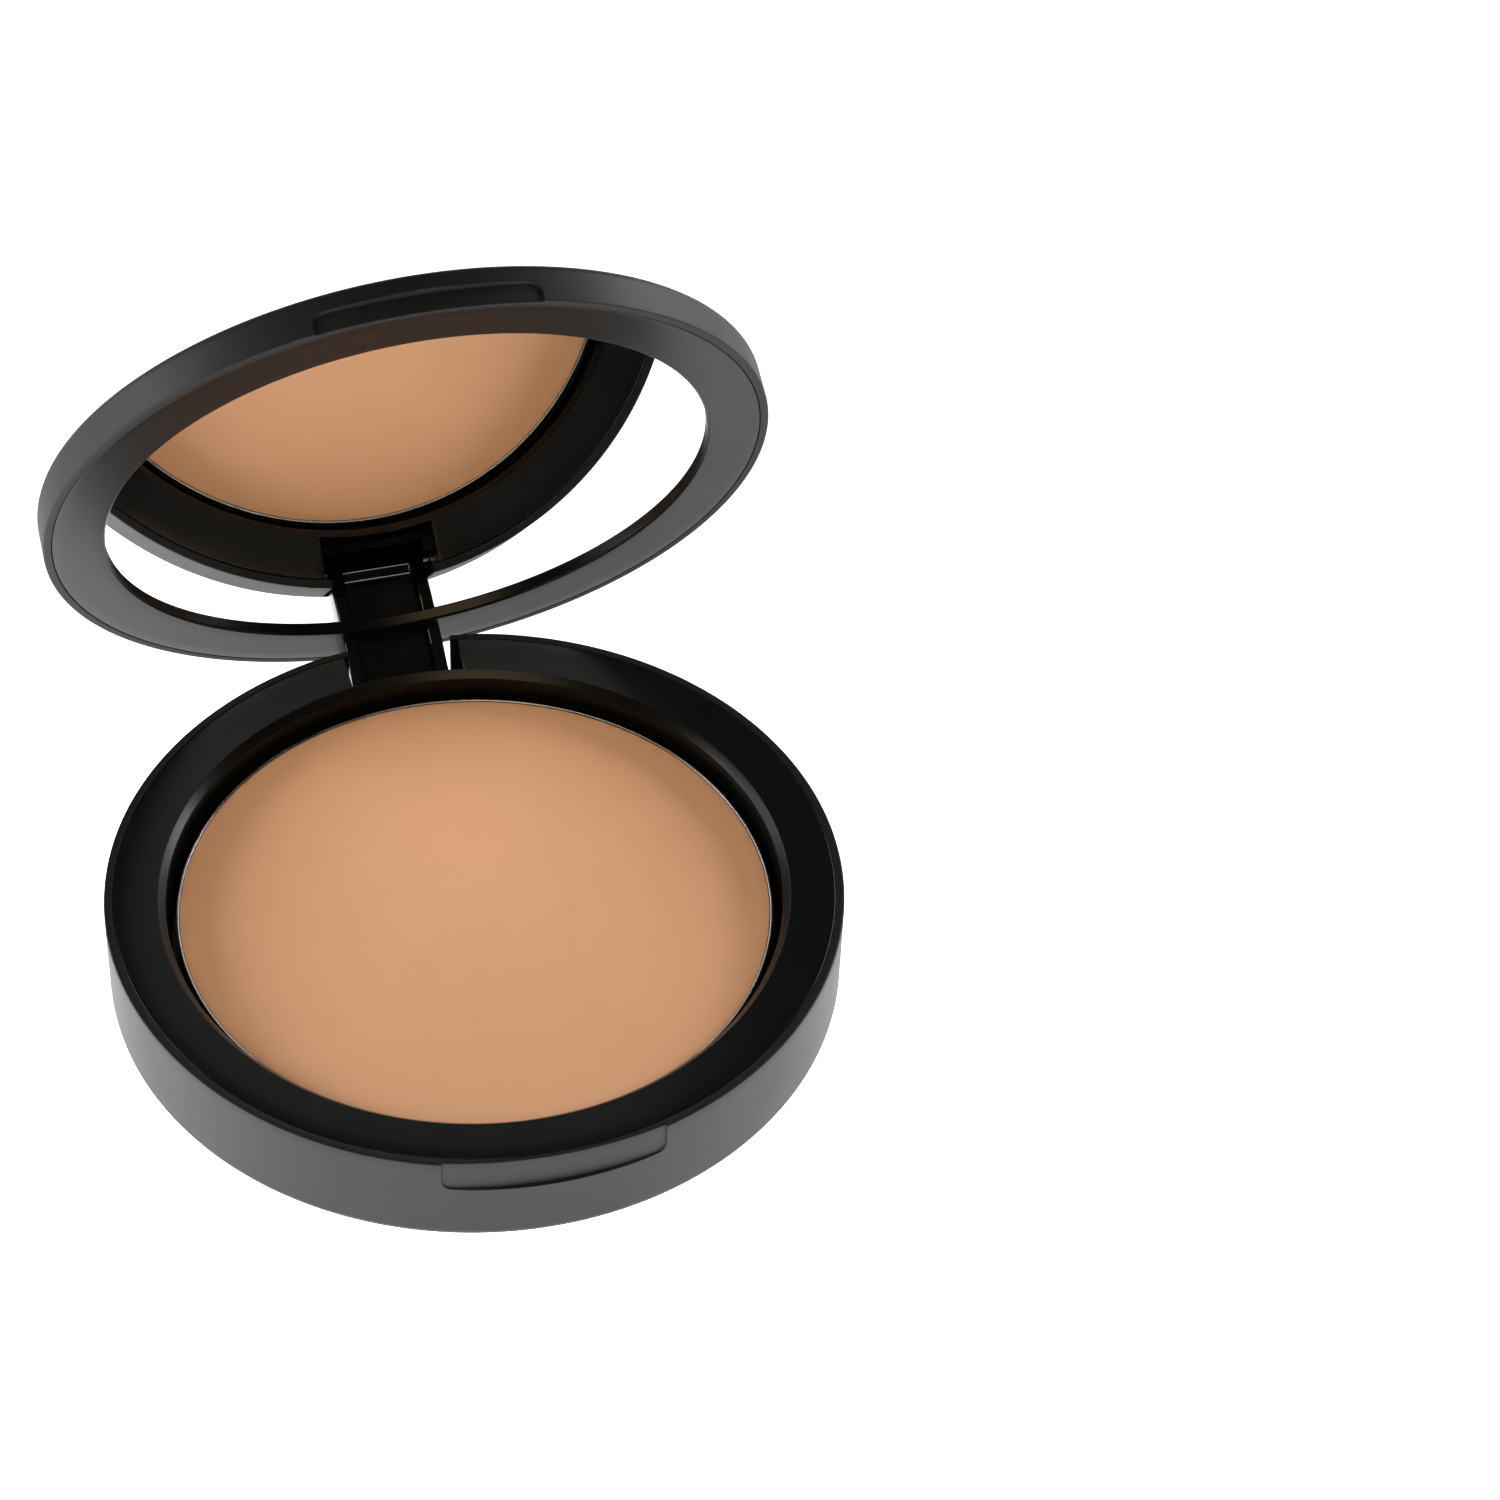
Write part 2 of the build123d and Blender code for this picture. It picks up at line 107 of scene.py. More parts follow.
# ---------------------------------------------------------------- outlines
def rounded(corners, steps=5):
    """Closed outline from corners (x, y, radius), each corner with a radius made a tangent arc.

    The arc starts radius / tan(half the corner's angle) before the corner, and its centre lies
    radius / sin(half the angle) from the corner on the bisector.
    """
    corners = np.asarray(corners, float)
    outline = []
    for before, here, after in zip(np.roll(corners, 1, 0), corners, np.roll(corners, -1, 0)):
        point, radius = here[:2], here[2]
        if radius <= 0:
            outline.append(point[None])
            continue
        back = (before[:2] - point) / np.linalg.norm(before[:2] - point)
        ahead = (after[:2] - point) / np.linalg.norm(after[:2] - point)
        half = math.acos(np.clip(back @ ahead, -1, 1)) / 2
        centre = point + (back + ahead) / np.linalg.norm(back + ahead) * radius / math.sin(half)
        start = point + back * radius / math.tan(half) - centre
        end = point + ahead * radius / math.tan(half) - centre
        sweep = math.pi - 2 * half
        part = np.linspace(0, 1, steps + 1)[:, None]
        arc = (np.sin((1 - part) * sweep) * start + np.sin(part * sweep) * end) / math.sin(sweep)
        outline.append(centre + arc)
    return np.concatenate(outline)


def divided(outline, spacing, closed=False, dense=None, fine=0.07):
    """The outline with even extra points on each run that is longer than the spacing.

    A run whose middle height is within dense gets the fine spacing instead.
    """
    ends = np.roll(outline, -1, 0) if closed else outline[1:]
    parts = []
    for start, end in zip(outline, ends):
        middle = (start[1] + end[1]) / 2
        step = fine if dense and dense[0] < middle < dense[1] else spacing
        count = max(1, math.ceil(np.linalg.norm(end - start) / step))
        parts.append(start + (end - start) * (np.arange(count) / count)[:, None])
    if not closed:
        parts.append(outline[-1:])
    return np.concatenate(parts)


def row_at(outline, radius, height):
    """Number of the outline's point that is nearest to this one."""
    return int(np.argmin(np.hypot(outline[:, 0] - radius, outline[:, 1] - height)))


def inward(outline, closed=False):
    """Unit vectors from each outline point into the material, which lies left of the outline."""
    ahead = np.roll(outline, -1, 0) - outline
    back = outline - np.roll(outline, 1, 0)
    if not closed:
        ahead[-1] = back[-1]
        back[0] = ahead[0]
    ahead /= np.linalg.norm(ahead, axis=1)[:, None]
    back /= np.linalg.norm(back, axis=1)[:, None]
    along = ahead + back
    along /= np.linalg.norm(along, axis=1)[:, None]
    return np.stack([-along[:, 1], along[:, 0]], 1)


def eased(low, high, value):
    """0 up to low, 1 from high, and 3t^2 - 2t^3 between them."""
    t = np.clip((value - low) / (high - low), 0, 1)
    return t * t * (3 - 2 * t)


# ---------------------------------------------------------------- surfaces of revolution
HINGE_ZONE = 10.0       # half width of the zone at the back whose columns are set by their x
KEPT_X = 6.2            # columns up to here keep their x at every radius
KEPT_R = 31.0           # down to this one


def columns(slot_half=None, slot_round=0.1, notch=None):
    """Columns round a turned piece: angle from the hinge side, kept x or nan, and pull-in.

    Columns are one degree apart. Near the hinge they stand on lines of equal x instead, and next to
    a slot each of the last few also pulls its outline in, so that the cut edge is a quarter round.
    Beside the notch they stand close together.
    """
    quarter = np.linspace(0, math.pi / 2, 5)
    if slot_half is None:
        side_x = np.linspace(0, HINGE_ZONE, 16)[1:]
        side_pull = np.zeros(len(side_x))
        slot_count = 0
    else:
        inside = np.linspace(0, slot_half, 7)[1:-1]
        edge = slot_half + slot_round * (1 - np.sin(quarter[::-1]))
        outside = np.linspace(edge[-1], HINGE_ZONE, 8)[1:]
        side_x = np.concatenate([inside, edge, outside])
        side_pull = np.concatenate(
            [np.zeros(len(inside)), slot_round * (1 - np.cos(quarter[::-1])), np.zeros(len(outside))]
        )
        slot_count = len(inside) + 1
    first = math.degrees(math.asin(HINGE_ZONE / SHELL_HIGH[0])) + 1
    if notch is None:
        side_angle = np.linspace(first, 179, 164)
    else:
        edge_x = np.arange(notch.half_width + 0.3, notch.half_width - notch.corner - 0.4, -0.07)
        edge_angle = 180 - np.degrees(np.arcsin(edge_x / SHELL_HIGH[0]))
        side_angle = np.concatenate(
            [
                np.linspace(first, edge_angle[0] - 1, 144),
                edge_angle,
                np.linspace(edge_angle[-1] + 1, 179, 14),
            ]
        )
    x = np.concatenate([side_x, np.full(len(side_angle), np.nan)])
    angle = np.concatenate([np.zeros(len(side_x)), np.radians(side_angle)])
    pull = np.concatenate([side_pull, np.zeros(len(side_angle))])
    return SimpleNamespace(
        x=np.concatenate([[0], x, [np.nan], -x[::-1]]),
        angle=np.concatenate([[0], angle, [math.pi], -angle[::-1]]),
        pull=np.concatenate([[0], pull, [0], pull[::-1]]),
        slot=slot_count,
    )


def turned_points(radius, height, cols):
    """Points of a turned piece: x = r sin(t), y = r cos(t), with t from the hinge side.

    radius and height are rows by columns. On a column that keeps its x, t is asin(x / r), and from
    there to the edge of the zone it passes over to asin(x / outer radius), the same at every r.
    """
    kept = np.where(np.isnan(cols.x), 0, cols.x)[None]
    straight = 1 - np.clip((np.abs(kept) - KEPT_X) / (HINGE_ZONE - KEPT_X), 0, 1)
    warped = straight * np.arcsin(kept / np.maximum(radius, KEPT_R))
    warped = warped + (1 - straight) * np.arcsin(kept / SHELL_HIGH[0])
    angle = np.where(np.isnan(cols.x)[None], cols.angle[None], warped)
    x, y = radius * np.sin(angle), radius * np.cos(angle)
    return np.stack([x, y, np.broadcast_to(height, x.shape)], -1)


def grid_faces(rows, cols, wrap_rows=False, slot=0, cut=None):
    """Faces of a turned grid. Rows cut[0] to cut[1] are left out over the slot's columns.

    There one strip joins the two rows, and a flat face closes the cut at each side of the slot.
    """
    index = np.arange(rows * cols).reshape(rows, cols)
    if wrap_rows:
        index = np.concatenate([index, index[:1]])
    around = np.concatenate([index, index[:, :1]], 1)
    quads = np.stack([around[:-1, :-1], around[:-1, 1:], around[1:, 1:], around[1:, :-1]], -1)
    if not slot:
        return quads.reshape(-1, 4).tolist()
    start, end = cut
    in_slot = np.zeros(cols, bool)
    in_slot[:slot] = True
    in_slot[-slot:] = True
    kept = np.ones(quads.shape[:2], bool)
    kept[start:end, in_slot] = False
    strip = np.stack([around[start, :-1], around[start, 1:], around[end, 1:], around[end, :-1]], -1)
    faces = quads[kept].tolist() + strip[in_slot].tolist()
    faces.append(index[start : end + 1, slot].tolist())
    faces.append(index[start : end + 1, cols - slot][::-1].tolist())
    return faces


# ---------------------------------------------------------------- meshes
def make_piece(name, parts, body, stands_for, material, edge_angle=35.0):
    """One object from closed parts, each a pair of points in millimetres and faces.

    Points that coincide, as at a pole, are merged, and each part's faces are turned outwards.
    """
    joined = bmesh.new()
    for points, faces in parts:
        flat = points.reshape(-1, 3)
        if body == "lid":
            flat = turned(flat, OPEN_ANGLE)
        part = bpy.data.meshes.new(name)
        part.from_pydata((flat * MM).tolist(), [], faces)
        closed = bmesh.new()
        closed.from_mesh(part)
        bmesh.ops.remove_doubles(closed, verts=closed.verts, dist=2e-7)
        bmesh.ops.dissolve_degenerate(closed, edges=closed.edges, dist=1e-8)
        bmesh.ops.recalc_face_normals(closed, faces=closed.faces)
        closed.to_mesh(part)
        closed.free()
        joined.from_mesh(part)
        bpy.data.meshes.remove(part)
    mesh = bpy.data.meshes.new(name)
    joined.to_mesh(mesh)
    joined.free()
    mesh.shade_smooth()
    mesh.set_sharp_from_angle(angle=math.radians(edge_angle))
    mesh.materials.append(material)
    piece = bpy.data.objects.new(name, mesh)
    bpy.context.scene.collection.objects.link(piece)
    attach(piece, body)
    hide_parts(*stands_for)
    return piece


def carried(outline, stations):
    """A closed outline in y and z carried along x, with flat ends: points and faces."""
    rows, cols = len(outline), len(stations)
    points = np.empty((rows, cols, 3))
    points[..., 0] = stations[None]
    points[..., 1] = outline[:, None, 0]
    points[..., 2] = outline[:, None, 1]
    return points, carried_faces(rows, cols)


def carried_faces(rows, cols):
    """Faces of a closed outline carried along a line, with one flat face at each end."""
    index = np.arange(rows * cols).reshape(rows, cols)
    wrapped = np.concatenate([index, index[:1]])
    quads = np.stack([wrapped[:-1, :-1], wrapped[:-1, 1:], wrapped[1:, 1:], wrapped[1:, :-1]], -1)
    return quads.reshape(-1, 4).tolist() + [index[:, 0].tolist(), index[::-1, -1].tolist()]


def notch_of(size, edge_z, way):
    """What notch_depth needs: the notch's sizes, its level edge, and where it lies, 1 for below."""
    return SimpleNamespace(
        edge_z=edge_z, way=way, half_width=size.notch_width, depth=size.notch_depth,
        face_radius=size.notch_arc, corner=size.notch_corner, fillet=size.notch_fillet,
        soft=NOTCH_SOFTNESS,
    )


def notch_depth(points, wall_r, notch):
    """Depth of the thumb notch below the wall, at each point of a shell.

    The notch's back is a wide arc, so its depth is the wall's radius less the radius of that arc in
    the same direction. It runs out in a concave quarter round towards the outline of the notch, a
    rectangle with rounded corners, and 0.5 (v + sqrt(v^2 + k^2)) softens the edge where it starts.
    """
    x, y, z = points[..., 0], points[..., 1], points[..., 2]
    centre_y = notch.face_radius - (SHELL_HIGH[0] - notch.depth)
    direction = np.arctan2(x, y)
    face_r = centre_y * np.cos(direction)
    face_r += np.sqrt(notch.face_radius**2 - (centre_y * np.sin(direction)) ** 2)
    across = np.abs(x) - (notch.half_width - notch.corner)
    along = notch.way * (z - notch.edge_z) + notch.corner
    outside = np.hypot(np.maximum(across, 0), np.maximum(along, 0))
    inside = notch.corner - outside - np.minimum(np.maximum(across, along), 0)
    run = np.clip(inside, 0, notch.fillet)
    rise = notch.fillet - np.sqrt(notch.fillet**2 - (notch.fillet - run) ** 2)
    rise += NOTCH_BEYOND * np.maximum(-inside, 0)
    left = wall_r - face_r - rise
    depth = 0.5 * (left + np.sqrt(left**2 + notch.soft**2))
    return np.where((y < 0) & (inside > -0.5), depth, 0)


# ---------------------------------------------------------------- materials
def linear(code):
    """Linear red, green and blue of an sRGB hex colour."""
    channels = np.array([int(code[i : i + 2], 16) for i in (1, 3, 5)]) / 255
    return np.where(channels <= 0.04045, channels / 12.92, ((channels + 0.055) / 1.055) ** 2.4)


def add_node(tree, kind, links=None, **settings):
    """Adds a node. A setting is a property, or else a socket; links maps sockets to outputs."""
    node = tree.nodes.new(kind)
    for name, value in settings.items():
        if hasattr(node, name):
            setattr(node, name, value)
        else:
            node.inputs[name.replace("_", " ")].default_value = value
    for socket, output in (links or {}).items():
        tree.links.new(output, node.inputs[socket])
    return node


def new_material(name, tint, **settings):
    """A material with one Principled shader: its tree, shader, and the object's coordinates."""
    material = bpy.data.materials.new(name)
    material.use_nodes = True
    tree = material.node_tree
    shader = tree.nodes["Principled BSDF"]
    shader.inputs["Base Color"].default_value = (*tint, 1)
    for socket, value in settings.items():
        shader.inputs[socket.replace("_", " ")].default_value = value
    place = add_node(tree, "ShaderNodeTexCoord").outputs["Object"]
    return material, tree, shader, place


def roughened(tree, shader, place, low, high, patch_mm):
    """Roughness that wanders between two values over patches of this size."""
    patches = add_node(
        tree, "ShaderNodeTexNoise", {"Vector": place}, Scale=1 / (patch_mm * MM), Detail=3.0
    )
    spread = add_node(
        tree, "ShaderNodeMapRange", {"Value": patches.outputs["Fac"]},
        From_Min=0.3, From_Max=0.7, To_Min=low, To_Max=high,
    )
    tree.links.new(spread.outputs["Result"], shader.inputs["Roughness"])


def grained(tree, shader, place, grain_mm, depth_mm, detail=2.0):
    """Fine bump of this grain width and depth."""
    grain = add_node(
        tree, "ShaderNodeTexNoise", {"Vector": place}, Scale=1 / (grain_mm * MM), Detail=detail
    )
    bump = add_node(
        tree, "ShaderNodeBump", {"Height": grain.outputs["Fac"]}, Strength=1.0,
        Distance=depth_mm * MM,
    )
    tree.links.new(bump.outputs["Normal"], shader.inputs["Normal"])
    return grain


def soft_touch_lacquer(finish):
    """Soft-touch rubber lacquer sprayed on moulded ABS: dark, velvety, with a broad dull gloss."""
    material, tree, shader, place = new_material(
        "soft_touch_lacquer_on_abs", finish.lacquer, IOR=1.5, Specular_IOR_Level=0.15
    )
    roughened(tree, shader, place, finish.lacquer_roughness - 0.01, finish.lacquer_roughness + 0.02, 9)
    grained(tree, shader, place, 0.14, 0.0016)
    return material


def spark_textured_abs(finish):
    """Black ABS moulded against a finely spark-eroded steel face: satin, with a tight even grain."""
    material, tree, shader, place = new_material(
        "spark_textured_abs", finish.satin, IOR=1.53, Specular_IOR_Level=0.14
    )
    roughened(tree, shader, place, finish.satin_roughness - 0.03, finish.satin_roughness + 0.03, 12)
    grained(tree, shader, place, 0.12, 0.0012)
    return material


def polished_abs(finish):
    """Black ABS moulded against polished steel: wet-looking gloss with faint handling haze."""
    material, tree, shader, place = new_material("polished_abs", finish.gloss, IOR=1.53)
    roughened(tree, shader, place, 0.04, 0.11, 3)
    return material


def drawn_aluminium(finish):
    """Aluminium sheet drawn into a pan: a soft bright metal with faint lines round its wall."""
    material, tree, shader, place = new_material("drawn_aluminium", finish.aluminium, Metallic=1.0)
    stretch = add_node(tree, "ShaderNodeMapping", {"Vector": place}, Scale=(0.15, 0.15, 1.0))
    roughened(tree, shader, stretch.outputs["Vector"], 0.2, 0.38, 0.5)
    return material


def pressed_powder_finish(finish):
    """Pigmented talc pressed hard against a cloth: dead matt, a fine grain and a slight mottle."""
    material, tree, shader, place = new_material(
        "pressed_face_powder", finish.powder, Roughness=0.95, IOR=1.45, Specular_IOR_Level=0.15,
        Sheen_Weight=0.05, Sheen_Roughness=0.6,
    )
    grain = grained(tree, shader, place, 0.16, 0.006, detail=4.0)
    mottle = add_node(tree, "ShaderNodeTexNoise", {"Vector": place}, Scale=1 / (7 * MM), Detail=4.0)
    both = add_node(
        tree, "ShaderNodeMath",
        {0: grain.outputs["Fac"], 1: mottle.outputs["Fac"]}, operation="ADD",
    )
    tint = add_node(tree, "ShaderNodeValToRGB", {"Fac": both.outputs["Value"]})
    tint.color_ramp.elements[0].position = 0.7
    tint.color_ramp.elements[1].position = 1.3
    tint.color_ramp.elements[0].color = (*(np.array(finish.powder) * 0.985), 1)
    tint.color_ramp.elements[1].color = (*(np.array(finish.powder) * 1.015), 1)
    tree.links.new(tint.outputs["Color"], shader.inputs["Base Color"])
    return material


def silvered_glass(finish):
    """Silvered float glass: a clean, nearly colourless reflection under the gloss of the glass.

    The plate is opaque, so it reflects at the face of the glass and not at its back.
    """
    material, tree, shader, place = new_material(
        "silvered_float_glass", finish.silver, Metallic=1.0, Coat_Weight=1.0, Coat_Roughness=0.0,
        Coat_IOR=1.52,
    )
    roughened(tree, shader, place, 0.0, 0.012, 20)
    return material


def plain_finish(name, tint, low, high, patch_mm, **settings):
    """A plain material whose roughness wanders a little, for the pieces inside the case."""
    material, tree, shader, place = new_material(name, tint, **settings)
    roughened(tree, shader, place, low, high, patch_mm)
    return material


# ---------------------------------------------------------------- settings that a user may change
def length(name, millimetres, description):
    """A length property with its default in metres."""
    return FloatProperty(
        name=name, description=description, default=millimetres * MM, min=0.0, unit="LENGTH",
        precision=5,
    )


def colour(name, code, description):
    """A colour property whose default is an sRGB hex value turned to linear."""
    return FloatVectorProperty(
        name=name, description=description, default=linear(code), min=0.0, max=1.0, subtype="COLOR"
    )


def share(name, value, description):
    """A property between 0 and 1."""
    return FloatProperty(
        name=name, description=description, default=value, min=0.0, max=1.0, subtype="FACTOR"
    )


class CompactSizes(bpy.types.PropertyGroup):
    """Sizes that the frame's boxes don't give."""

    rim_wall: length("Rim wall", 0.84, "Wall of both shells at the seam")
    shell_floor: length("Shell floor", 1.0, "Floor of the base shell")
    lid_roof: length("Lid roof", 1.2, "Top plate of the lid shell")
    foot_taper: length("Foot taper", 0.2, "How much the base narrows towards its underside")
    lid_taper: length("Lid taper", 0.05, "How much the lid narrows towards its top")
    seam: length("Seam", 0.07, "Gap between each ring and its shell")
    foot_round: length("Foot round", 1.0, "Radius under the base")
    top_round: length("Top round", 1.2, "Radius round the top of the lid")
    rim_round: length("Rim round", 0.18, "Radius on both rims at the seam")
    edge_round: length("Edge round", 0.1, "Radius on the other moulded edges")
    notch_width: length("Notch half width", 11.0, "Middle of the thumb notch to its side")
    notch_below: length("Notch below seam", 3.45, "Height of the notch in the base")
    notch_above: length("Notch above seam", 2.1, "Height of the notch in the lid")
    notch_depth: length("Notch depth", 0.5, "Depth of the notch in its middle")
    notch_arc: length("Notch arc", 42.4, "Radius of the back of the notch")
    notch_corner: length("Notch corner", 1.0, "Corner radius of the notch's outline")
    notch_fillet: length("Notch fillet", 0.15, "Concave radius round the back of the notch")
    well_top: length("Well radius", 30.45, "Radius of the well below its chamfer")
    well_chamfer: length("Well chamfer", 0.7, "Chamfer round the top of the well")
    well_draft: length("Well draft", 0.35, "How much the well narrows towards its floor")
    well_wall: length("Well wall radius", 31.2, "Outer radius of the wall of the well")
    well_floor: length("Well floor", 1.0, "Thickness of the floor of the well")
    ring_plate: length("Ring plate", 1.2, "Thickness of the ring's top plate")
    skirt: length("Skirt", 1.05, "Thickness of the skirts of both rings")
    skirt_drop: length("Skirt drop", 4.9, "Length of the base ring's skirt below its top")
    shell_slot: length("Shell slot half", 5.35, "Middle to the side of the slot in the shell")
    ring_slot: length("Ring slot half", 5.9, "Middle to the side of the slot in the ring")
    swing: length("Swing clearance", 0.1, "From the back rim to the lid's face as it swings")
    pan_sheet: length("Pan sheet", 0.3, "Thickness of the pan's sheet")
    pan_draft: length("Pan draft", 0.3, "How much the pan narrows towards its floor")
    pan_round: length("Pan round", 0.8, "Radius under the pan")
    powder_crown: length("Powder crown", 0.15, "Rise of the powder towards its middle")
    opening: length("Mirror opening", 30.3, "Radius of the opening in front of the mirror")
    frame_plate: length("Frame plate", 1.35, "Thickness of the plate round the mirror")
    frame_chamfer: length("Frame chamfer", 0.2, "Chamfer round the opening")
    glass_seam: length("Glass seam", 0.25, "Ground edge of the mirror's glass")
    lug_outer: length("Lug", 8.0, "Middle to the outer side of each hinge lug")
    lug_front: length("Lug front", 31.7, "Front of the hinge lugs behind the centre")
    lug_top: length("Lug top", 5.4, "Height of the hinge lugs")
    pin: length("Pin radius", 0.75, "Radius of the hinge pin")
    barrel: length("Barrel radius", 2.1, "Radius of the hinge arm round its pin")
    arm_half: length("Arm half width", 5.05, "Middle to the side of the hinge arm")
    shoulder: length("Arm shoulder", 2.05, "Height of the arm's straight part below the lid")
    cheek: length("Arm cheek", 1.25, "Width of each side cheek of the arm")
    setback: length("Arm setback", 0.95, "Depth of the channel between the cheeks")
    channel_foot: length("Channel foot", 4.3, "Height where the channel starts")
    channel_run: length("Channel run", 1.1, "Height in which it reaches its depth")


class CompactFinishes(bpy.types.PropertyGroup):
    """Colours and gloss."""

    lacquer: colour("Lacquer", "#151617", "Soft-touch lacquer of both shells")
    lacquer_roughness: share("Lacquer roughness", 0.52, "Dullness of the lacquer")
    satin: colour("Satin plastic", "#0B0B0C", "Moulded plastic of both rings")
    satin_roughness: share("Satin roughness", 0.3, "Dullness of the rings")
    gloss: colour("Gloss plastic", "#050505", "Polished plastic of the hinge arm")
    aluminium: colour("Aluminium", "#8C8D8F", "Sheet of the powder pan")
    powder: colour("Powder", "#D29E79", "Pressed powder")
    silver: colour("Silver", "#F1F2F2", "Silver behind the glass")


def in_mm(sizes):
    """The lengths of a property group in millimetres, as plain values."""
    return SimpleNamespace(**{key: getattr(sizes, key) / MM for key in sizes.__annotations__})


# ---------------------------------------------------------------- pieces
def shell_points(outline, cols, pull_weight, seat_r, notch, wall_r):
    """Points of a shell: its outline turned, pulled in beside a slot, and cut by the notch.

    The notch moves a point towards the axis by its depth, in full on the outer wall and not at all
    on the inner one.
    """
    pull = pull_weight[:, None] * cols.pull[None]
    into = inward(outline)
    radius = outline[:, :1] + into[:, :1] * pull
    height = outline[:, 1:] + into[:, 1:] * pull
    depth = notch_depth(turned_points(radius, height, cols), wall_r(height), notch)
    outer = eased(seat_r + 0.15, SHELL_HIGH[0] - 0.25, radius)
    return turned_points(radius - depth * outer, height, cols)


class PieceOperator:
    """What the operators share."""

    bl_options = {"REGISTER", "UNDO"}

    def settings(self, context):
        """Sizes in millimetres, and the finishes."""
        return in_mm(context.scene.compact_sizes), context.scene.compact_finishes


class COMPACT_OT_base_shell(PieceOperator, bpy.types.Operator):
    """Base shell: a tapered cup with a thumb notch, a slot for the hinge arm and two lugs"""

    bl_idname = "compact.base_shell"
    bl_label = "Base shell"

    def execute(self, context):
        size, finish = self.settings(context)
        outer_r, top = SHELL_HIGH[0], SHELL_HIGH[2]
        foot_r = outer_r - size.foot_taper
        seat_r = outer_r - size.rim_wall
        floor = size.shell_floor

        def wall_r(height):
            return foot_r + size.foot_taper * height / top

        notch = notch_of(size, top - size.notch_below, -1)
        dense = (notch.edge_z - NOTCH_MARGIN, notch.edge_z + size.notch_corner + NOTCH_MARGIN)
        corners = [
            (0, 0, 0),
            (foot_r, 0, size.foot_round),
            (wall_r(floor), floor, 0),
            (wall_r(dense[0]), dense[0], 0),
            (wall_r(dense[1]), dense[1], 0),
            (outer_r, top, size.rim_round),
            (seat_r, top, 0.06),
            (seat_r, floor, 0),
            (0, floor, 0),
        ]
        outline = divided(rounded(corners)[1:], 1.5, dense=dense)
        outline = np.concatenate([[[0, 0]], outline])
        cut = (row_at(outline, wall_r(floor), floor), row_at(outline, seat_r, floor))
        cols = columns(size.shell_slot, size.edge_round, notch)
        weight = eased(floor, floor + 0.4, outline[:, 1])
        points = shell_points(outline, cols, weight, seat_r, notch, wall_r)
        # the back rim is drawn in to the circle that clears the swinging lid
        reach = LID_LOW[2] - HINGE_Z - size.swing
        away = points[..., 1:] - [HINGE_Y, HINGE_Z]
        far = np.hypot(away[..., 0], away[..., 1])
        clear = np.where((away[..., 0] > 0) & (far > reach), reach / np.maximum(far, 1), 1)
        points[..., 1:] = [HINGE_Y, HINGE_Z] + away * clear[..., None]
        parts = [(points, grid_faces(*points.shape[:2], slot=cols.slot, cut=cut))]
        # the lugs, each with a cradle that is open above
        back_y = math.sqrt((seat_r + size.edge_round) ** 2 - size.lug_outer**2)
        half_turn = np.linspace(math.pi, 2 * math.pi, 13)
        cradle = [HINGE_Y, HINGE_Z] + size.pin * np.stack([np.cos(half_turn), np.sin(half_turn)], 1)
        lug = np.concatenate(
            [
                [(back_y, size.lug_top), (back_y, floor), (size.lug_front, floor)],
                [(size.lug_front, size.lug_top), (HINGE_Y - size.pin, size.lug_top)],
                cradle,
                [(HINGE_Y + size.pin, size.lug_top)],
            ]
        )
        for side in (-1, 1):
            parts.append(carried(lug, side * np.array([size.shell_slot, size.lug_outer])))
        make_piece(
            "base_shell_moulding", parts, "base", ["base_shell"],
            soft_touch_lacquer(finish),
        )
        return {"FINISHED"}


class COMPACT_OT_base_ring(PieceOperator, bpy.types.Operator):
    """Base ring: the plate round the powder with its well, and a skirt inside the shell"""

    bl_idname = "compact.base_ring"
    bl_label = "Base ring"

    def execute(self, context):
        size, finish = self.settings(context)
        outer_r = SHELL_HIGH[0] - size.rim_wall - size.seam
        top, foot = RING_HIGH[2], RING_LOW[2]
        plate = top - size.ring_plate
        floor = foot + size.well_floor
        skirt_z = top - size.skirt_drop
        edge = size.edge_round
        corners = [
            (0, foot, 0),
            (size.well_wall, foot, 0),
            (size.well_wall, plate, 0),
            (outer_r - size.skirt, plate, 0),
            (outer_r - size.skirt, skirt_z, 0),
            (outer_r, skirt_z, 0),
            (outer_r, top, edge),
            (size.well_wall, top, 0),
            (size.well_top + size.well_chamfer, top, edge),
            (size.well_top, top - size.well_chamfer, edge),
            (size.well_top - size.well_draft, floor, edge),
            (0, floor, 0),
        ]
        outline = divided(rounded(corners)[1:], 1.5)
        outline = np.concatenate([[[0, foot]], outline])
        cut = (row_at(outline, size.well_wall, plate), row_at(outline, size.well_wall, top))
        cols = columns(size.ring_slot, edge)
        weight = eased(size.well_wall, size.well_wall + 0.5, outline[:, 0])
        pull = weight[:, None] * cols.pull[None]
        into = inward(outline)
        points = turned_points(
            outline[:, :1] + into[:, :1] * pull, outline[:, 1:] + into[:, 1:] * pull, cols
        )
        parts = [(points, grid_faces(*points.shape[:2], slot=cols.slot, cut=cut))]
        make_piece(
            "base_ring_moulding", parts, "base", ["base_ring"],
            spark_textured_abs(finish),
        )
        return {"FINISHED"}


